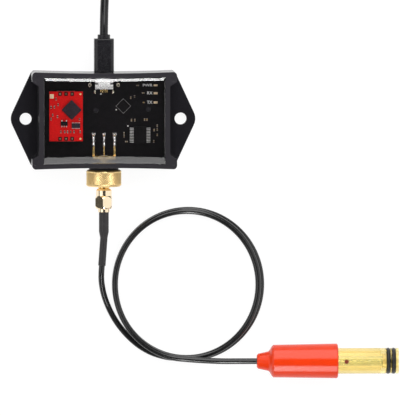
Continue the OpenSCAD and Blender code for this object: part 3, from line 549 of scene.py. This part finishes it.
def clamp_nut_piece():
    """A chamfered ring, with rows of pyramids whose valleys cross."""
    low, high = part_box("clamp_nut")
    axis_z = (low.z + high.z) / 2 / MM
    near, far = -high.y / MM, -low.y / MM
    radius = (high.x - low.x) / 2 / MM
    bore, chamfer, recess, lip = NUT_BORE, NUT_CHAMFER, NUT_RECESS, NUT_LIP
    pitch = 2 * math.pi * radius / KNURL_COUNT
    rows = 2 * round((far - near - 2 * chamfer) / pitch)
    profile = [(bore, near), (radius - chamfer - 0.1, near), (radius - chamfer, near + 0.03)]
    profile += [(radius - 0.12, near + chamfer - 0.12)]
    first_row = len(profile)
    profile += [(radius, near + chamfer + (far - near - 2 * chamfer) * k / rows)
                for k in range(rows + 1)]
    last_row = first_row + rows
    profile += [(radius - 0.12, far - chamfer + 0.12), (radius - chamfer, far - 0.03),
                (radius - chamfer - 0.1, far), (radius - lip + 0.08, far), (radius - lip, far - 0.08),
                (radius - lip, far - recess + 0.1), (radius - lip - 0.1, far - recess),
                (bore + 0.25, far - recess), (bore, far - recess - 0.25)]
    around = KNURL_COUNT * 2
    points = []
    for j, (r, s) in enumerate(profile):
        for k in range(around):
            turn = 2 * math.pi * k / around
            valley = first_row < j < last_row and (j + k) % 2 == 0
            cut = KNURL_DEPTH if valley else 0.0
            points.append(((r - cut) * math.cos(turn), -s, axis_z + (r - cut) * math.sin(turn)))
    rows_n = len(profile)
    faces = []
    for j in range(rows_n):
        nxt = (j + 1) % rows_n
        for k in range(around):
            m = (k + 1) % around
            ring = (j * around + k, j * around + m, nxt * around + m, nxt * around + k)
            if first_row <= j < last_row:
                # each quad is split along its valley, so the peaks stay pyramids
                if (j + k) % 2 == 0:
                    faces += [(ring[0], ring[1], ring[2]), (ring[0], ring[2], ring[3])]
                else:
                    faces += [(ring[1], ring[2], ring[3]), (ring[1], ring[3], ring[0])]
            else:
                faces.append(ring)
    mesh = mesh_from("knurled_nut", [Vector(p) * MM for p in points], faces)
    face_outwards(mesh)
    sharpen(mesh, 24)
    for face in mesh.polygons:
        if len(face.vertices) == 3:
            face.use_smooth = False
    return piece("knurled_nut", mesh, NUT_BRASS, "clamp_nut", ["clamp_nut"])


clamp_nut_piece()


# Boards: printed words, marks, pads and solder

def islands(node):
    """The lowest and highest corner of each loose part of a CAD node, in mm."""
    bm = bmesh.new()
    bm.from_mesh(NODES[node].data)
    bmesh.ops.remove_doubles(bm, verts=bm.verts, dist=1e-6)
    seen, found = set(), []
    for start in bm.verts:
        if start in seen:
            continue
        stack, group = [start], []
        seen.add(start)
        while stack:
            vert = stack.pop()
            group.append(vert.co / MM)
            for link in vert.link_edges:
                other = link.other_vert(vert)
                if other not in seen:
                    seen.add(other)
                    stack.append(other)
        found.append(tuple(Vector(pick(p[k] for p in group) for k in range(3)) for pick in (min, max)))
    bm.free()
    return found


def boxes(name, items, material, body, bevel=0.04):
    """One mesh of small rounded boxes, each (x, y, z, length, width, height, turn in radians)."""
    bm = bmesh.new()
    for x, y, z, length, width, height, turn in items:
        placed = (Matrix.Translation(mm(x, y, z + height / 2)) @ Matrix.Rotation(turn, 4, "Z")
                  @ Matrix.Diagonal((length * MM, width * MM, height * MM, 1)))
        made = bmesh.ops.create_cube(bm, size=1.0, matrix=placed)
        edges = list({e for v in made["verts"] for e in v.link_edges})
        if bevel:
            bmesh.ops.bevel(bm, geom=edges, offset=min(bevel, height / 3, width / 3) * MM, segments=2,
                            profile=0.6, affect="EDGES", clamp_overlap=True)
    mesh = bpy.data.meshes.new(name)
    bm.to_mesh(mesh)
    bm.free()
    return piece(name, mesh, material, body)


def discs(name, items, material, body, hole=0.0):
    """One mesh of thin discs, or rings where hole is a share of the radius: (x, y, z, radius)."""
    points, faces = [], []
    count = 20
    for x, y, z, radius in items:
        start = len(points)
        for height in (0.0, 0.02):
            for r in (radius, radius * hole if hole else radius * 0.5):
                points += [(x + r * math.cos(2 * math.pi * k / count),
                            y + r * math.sin(2 * math.pi * k / count), z + height)
                           for k in range(count)]
        lo, li, ho, hi = (start + count * k for k in range(4))
        for k in range(count):
            m = (k + 1) % count
            faces.append((lo + k, lo + m, ho + m, ho + k))
            faces.append((ho + k, ho + m, hi + m, hi + k))
            if hole:
                faces.append((hi + k, hi + m, li + m, li + k))
            faces.append((li + k, li + m, lo + m, lo + k))
        if not hole:
            faces.append(tuple(hi + k for k in range(count)))
            faces.append(tuple(li + k for k in range(count - 1, -1, -1)))
    mesh = mesh_from(name, [Vector(p) * MM for p in points], faces, smooth=False)
    return piece(name, mesh, material, body)


carrier_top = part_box("carrier_board")[1].z / MM
module_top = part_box("module_board")[1].z / MM


def word(text, node, size, bold):
    """A printed word that ends just left of an LED."""
    low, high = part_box(node)
    data = bpy.data.curves.new(text, "FONT")
    data.body = text
    data.size = size * MM
    data.align_x = "RIGHT"
    data.align_y = "CENTER"
    data.extrude = 0.008 * MM
    data.offset = bold * MM
    made = bpy.data.objects.new("word_" + text, data)
    scene.collection.objects.link(made)
    made.location = (low.x - 0.55 * MM, (low.y + high.y) / 2, (carrier_top + 0.012) * MM)
    bpy.context.view_layer.update()
    mesh = bpy.data.meshes.new_from_object(made.evaluated_get(bpy.context.evaluated_depsgraph_get()))
    mesh.transform(made.matrix_world)
    mesh.materials.clear()
    bpy.data.objects.remove(made)
    return piece("word_" + text, mesh, SILK, "box")


word("PWR", "power_led", 1.9, 0.0)
word("RX", "receive_led", 1.75, 0.02)
word("TX", "transmit_led", 1.75, 0.02)


def end_caps(node, name, material):
    """Soldered metal ends on each small part of a node."""
    caps = []
    for low, high in islands(node):
        x, y = (low.x + high.x) / 2, (low.y + high.y) / 2
        wide, deep, tall = high - low
        for side in (-1, 1):
            if wide > deep:
                caps.append((x + side * wide * 0.38, y, low.z, wide * 0.28, deep * 1.1, tall * 1.08, 0))
            else:
                caps.append((x, y + side * deep * 0.38, low.z, wide * 1.1, deep * 0.28, tall * 1.08, 0))
    return boxes(name, caps, material, "box")


end_caps("module_passives", "module_part_ends", PART_ENDS)
end_caps("carrier_passives", "carrier_part_ends", PART_ENDS)

discs("board_dots", [(-1.3, 10.9, carrier_top, 0.26), (5.1, 4.25, carrier_top, 0.26),
                     (10.0, -2.55, carrier_top, 0.3)], SILK, "box")
PIN_COLUMNS, PIN_ROWS = (-18.54, -16, -13.46), (11.1, -7.7)
boxes("pin_collars", [(x, y, module_top, 1.5, 1.6, 0.05, 0) for x in PIN_COLUMNS for y in PIN_ROWS],
      CHIP_DARK, "box")
discs("module_pads", [(-10.0, 11.0, module_top, 0.42), (-10.0, -7.7, module_top, 0.42)], PALE_PAD,
      "box")


def bridge_outline():
    """The printed square round the bridge chip."""
    low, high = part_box("usb_bridge_chip")
    x, y = (low.x + high.x) / 2 / MM, (low.y + high.y) / 2 / MM
    half = 2.2
    bars = []
    for k in range(4):
        turn = math.radians(45 + 90 * k)
        bars.append((x + half * math.cos(turn), y + half * math.sin(turn), carrier_top, 2 * half, 0.13,
                     0.02, turn + math.pi / 2))
    return boxes("chip_outline", bars, FAINT_PRINT, "box", bevel=0)


bridge_outline()


def lump(points, faces, outline, z, height, crown=0.45):
    """A solder fillet: an outline that rises to a narrower, rounded top."""
    n = len(outline)
    cx = sum(p[0] for p in outline) / n
    cy = sum(p[1] for p in outline) / n
    start = len(points)
    rows = 6
    for k in range(rows + 1):
        t = k / rows
        shrink = 1 - (1 - crown) * (1 - math.cos(t * math.pi / 2))
        rise = height * math.sin(t * math.pi / 2)
        points += [(cx + (x - cx) * shrink, cy + (y - cy) * shrink, z + rise) for x, y in outline]
    for k in range(rows):
        for i in range(n):
            j = (i + 1) % n
            a, b = start + k * n, start + (k + 1) * n
            faces.append((a + i, a + j, b + j, b + i))
    faces.append(tuple(start + i for i in range(n - 1, -1, -1)))
    faces.append(tuple(start + rows * n + i for i in range(n)))


# Along each joint, from the leg's near end: place, half width, height.
SOLDER_SHAPE = [(-11.3, 0.3, 0.1), (-11.15, 0.5, 0.75), (-10.9, 0.6, 1.05), (-10.4, 0.64, 1.2),
                (-9.9, 0.6, 1.05), (-9.6, 0.57, 0.93), (-9.3, 0.58, 1.08), (-8.6, 0.6, 1.42),
                (-7.6, 0.62, 1.36), (-6.9, 0.66, 1.29), (-6.6, 0.7, 0.9), (-6.1, 0.82, 0.7),
                (-5.7, 0.9, 0.58), (-5.5, 0.92, 0.5), (-5.4, 0.9, 0.06)]
# The three legs: place across, scale, and how far the joint wanders sideways.
SOLDER_LEGS = [(-4.4, 1.0, 0.03), (0, 0.86, -0.05), (4.4, 1.04, 0.06)]
FORK_FROM, FORK_OVER = -6.8, 0.9  # where the fork starts, and the distance it deepens over
FORK_DEPTH, FORK_REACH = 0.7, 0.45


def solder_piece():
    """The solder on the jack's three legs, with a waist, and a fork where it runs out."""
    points, faces = [], []
    across = 24
    for x, scale, lean in SOLDER_LEGS:
        start = len(points)
        for k, (y, half, height) in enumerate(SOLDER_SHAPE):
            forked = smoothstep((y - FORK_FROM) / FORK_OVER)
            middle = x + lean * math.sin(k * 1.3)
            for i in range(across + 1):
                u = 2 * i / across - 1
                arch = (1 - abs(u) ** 3) ** (1 / 3)
                notch = 1 - FORK_DEPTH * forked * math.exp(-(u / 0.45) ** 2)
                reach = FORK_REACH * forked * math.exp(-(u / 0.4) ** 2)
                points.append((middle + half * scale * u, y - reach,
                               carrier_top + height * (0.6 + 0.4 * scale) * arch * notch))
        row = across + 1
        last = len(SOLDER_SHAPE) - 1
        for k in range(last):
            for i in range(across):
                a, b = start + k * row + i, start + (k + 1) * row + i
                faces.append((a, a + 1, b + 1, b))
            faces.append((start + k * row + across, start + k * row, start + (k + 1) * row,
                          start + (k + 1) * row + across))
        faces.append(tuple(start + i for i in range(across, -1, -1)))
        faces.append(tuple(start + last * row + i for i in range(row)))
    mesh = mesh_from("leg_solder", [Vector(p) * MM for p in points], faces)
    return piece("leg_solder", mesh, SOLDER, "box", ["solder_joints"])


TAB_RING, TAB_DROP = (5.95, 14.95), (3.8, 11.7)  # their places on the +X side
RING_HALF = (0.5, 0.82)
DROP_HALF = (0.55, 0.75)


def tab_piece():
    """The socket's four soldered tabs: two rings and two drops."""
    points, faces = [], []
    for side in (-1, 1):
        start = len(points)
        across, along = 28, 10
        for i in range(across):
            a = 2 * math.pi * i / across
            for j in range(along):
                b = 2 * math.pi * j / along
                reach = 0.2 + 0.06 * math.cos(a - math.pi / 2)
                out = 1 + reach * math.cos(b) / RING_HALF[0]
                points.append((side * TAB_RING[0] + RING_HALF[0] * out * math.cos(a),
                               TAB_RING[1] + RING_HALF[1] * out * math.sin(a),
                               carrier_top + 0.12 + 0.3 * (1 + math.sin(b)) / 2 * 1.2))
        for i in range(across):
            for j in range(along):
                p, q = (i + 1) % across, (j + 1) % along
                faces.append((start + i * along + j, start + p * along + j,
                              start + p * along + q, start + i * along + q))
        outline = []
        for i in range(20):
            a = 2 * math.pi * i / 20
            reach = 1 + 1.1 * max(0.0, math.sin(a)) ** 6
            slim = 1 - 0.4 * max(0.0, math.sin(a)) ** 2
            outline.append((side * TAB_DROP[0] + DROP_HALF[0] * math.cos(a) * slim,
                            TAB_DROP[1] + DROP_HALF[1] * reach * math.sin(a)))
        lump(points, faces, outline, carrier_top, 0.45, crown=0.35)
    mesh = mesh_from("socket_tabs", [Vector(p) * MM for p in points], faces)
    face_outwards(mesh)
    return piece("socket_tabs", mesh, TAB_METAL, "box")


solder_piece()
tab_piece()

# the two windows in the socket's shell, drawn as thin dark patches on its top: painted shade where the
# holes are
shell_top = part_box("usb_socket_shell")[1].z / MM
boxes("shell_window_shade", [(side * 3.15, 15.5, shell_top - 0.02, 1.2, 0.75, 0.035, 0)
                        for side in (-1, 1)], CHIP_DARK, "box", bevel=0)


# Floor, world and lamps

FLOOR_REACH, FLOOR_Z = 4e4, -0.05
FLOOR_LIT = 0.6  # the grey that matte surfaces are lit by
FLOOR_SEEN, FLOOR_GLOW = 0.16, 0.9  # what the camera sees: this grey under the lamps, and this glow


def background_mask(tree):
    """1 for rays from the camera, and for those that metal and glass send on."""
    path = add(tree, "ShaderNodeLightPath")
    total = path.outputs["Is Camera Ray"]
    for kind in ("Is Glossy Ray", "Is Transmission Ray"):
        both = add(tree, "ShaderNodeMath", operation="MAXIMUM")
        tree.links.new(total, both.inputs[0])
        tree.links.new(path.outputs[kind], both.inputs[1])
        total = both.outputs[0]
    return total


def floor():
    """A pale floor that reads as white where the lamps reach it, and keeps the object's shadow."""
    corners = [mm(x * FLOOR_REACH, y * FLOOR_REACH, FLOOR_Z)
               for x, y in ((-1, -1), (1, -1), (1, 1), (-1, 1))]
    mesh = mesh_from("floor", corners, [(0, 1, 2, 3)], smooth=False)
    material, tree, output = new_material("floor")
    pale, seen = add(tree, "ShaderNodeBsdfDiffuse"), add(tree, "ShaderNodeBsdfDiffuse")
    drift = spread(tree, speckle(tree, 40.0), 0.0, 1.0)
    for shader, grey in ((pale, FLOOR_LIT), (seen, FLOOR_SEEN)):
        shades = blend_colours(tree, drift, (grey - 0.01,) * 3, (grey + 0.01,) * 3)
        tree.links.new(shades, shader.inputs["Color"])
    glow = add(tree, "ShaderNodeEmission", Strength=FLOOR_GLOW)
    both = add(tree, "ShaderNodeAddShader")
    tree.links.new(seen.outputs[0], both.inputs[0])
    tree.links.new(glow.outputs[0], both.inputs[1])
    mix = add(tree, "ShaderNodeMixShader")
    tree.links.new(background_mask(tree), mix.inputs[0])
    tree.links.new(pale.outputs[0], mix.inputs[1])
    tree.links.new(both.outputs[0], mix.inputs[2])
    tree.links.new(mix.outputs[0], output.inputs["Surface"])
    mesh.materials.append(material)
    made = bpy.data.objects.new("floor", mesh)
    scene.collection.objects.link(made)


floor()

STUDIO_DIM = 0.10  # overhead, for reflections
HORIZON = (0.12, 0.22)  # the white at the horizon ends between these heights on the unit sphere
FILL = 0.1  # all round, for matte surfaces


def make_world():
    """White round the horizon, dim overhead, and a low even fill for everything matte."""
    world = bpy.data.worlds.new("studio")
    scene.world = world
    world.use_nodes = True
    tree = world.node_tree
    tree.nodes.clear()
    output = tree.nodes.new("ShaderNodeOutputWorld")
    place = add(tree, "ShaderNodeTexCoord")
    parts = add(tree, "ShaderNodeSeparateXYZ")
    tree.links.new(place.outputs["Generated"], parts.inputs[0])
    rise = add(tree, "ShaderNodeMapRange", interpolation_type="SMOOTHSTEP")
    rise.inputs["From Min"].default_value, rise.inputs["From Max"].default_value = HORIZON
    rise.inputs["To Min"].default_value = 1.0
    rise.inputs["To Max"].default_value = STUDIO_DIM
    tree.links.new(parts.outputs["Z"], rise.inputs["Value"])
    path = add(tree, "ShaderNodeLightPath")
    lit = add(tree, "ShaderNodeMix", data_type="FLOAT")
    tree.links.new(background_mask(tree), lit.inputs[0])
    lit.inputs[FLOAT_A].default_value = FILL
    tree.links.new(rise.outputs["Result"], lit.inputs[FLOAT_B])
    seen = add(tree, "ShaderNodeMix", data_type="FLOAT")
    tree.links.new(path.outputs["Is Camera Ray"], seen.inputs[0])
    tree.links.new(lit.outputs[0], seen.inputs[FLOAT_A])
    seen.inputs[FLOAT_B].default_value = 1.0
    sky = add(tree, "ShaderNodeBackground")
    tree.links.new(seen.outputs[0], sky.inputs["Strength"])
    tree.links.new(sky.outputs[0], output.inputs["Surface"])


make_world()


def softbox(name, toward, near, far, half_width, radiance, distance=1.2):
    """A rectangular lamp towards a compass direction, from near to far degrees from overhead."""
    tilt, half_length = math.radians((near + far) / 2), math.radians((far - near) / 2)
    length = 2 * distance * math.tan(half_length)
    width = 2 * distance * math.sin(tilt) * math.tan(math.radians(half_width))
    data = bpy.data.lights.new(name, "AREA")
    data.shape = "RECTANGLE"
    data.size, data.size_y = width, length
    data.energy = radiance * math.pi * length * width
    lamp = bpy.data.objects.new(name, data)
    scene.collection.objects.link(lamp)
    a = math.radians(toward)
    out = Vector((math.sin(a) * math.sin(tilt), math.cos(a) * math.sin(tilt), math.cos(tilt)))
    along = Vector((math.sin(a) * math.cos(tilt), math.cos(a) * math.cos(tilt), -math.sin(tilt)))
    across = along.cross(out)
    lamp.matrix_world = Matrix.Translation(VIEW_CENTRE + out * distance) @ Matrix(
        (across, along, out)).transposed().to_4x4()
    lamp.visible_camera = False


softbox("strip_front", 180, 34, 72, 4, 15)
softbox("soft_back", 0, 14, 82, 24, 3.1, 0.5)
softbox("panel_right", 90, 22, 82, 36, 0.95)
softbox("panel_left", 270, 22, 66, 36, 1.3)
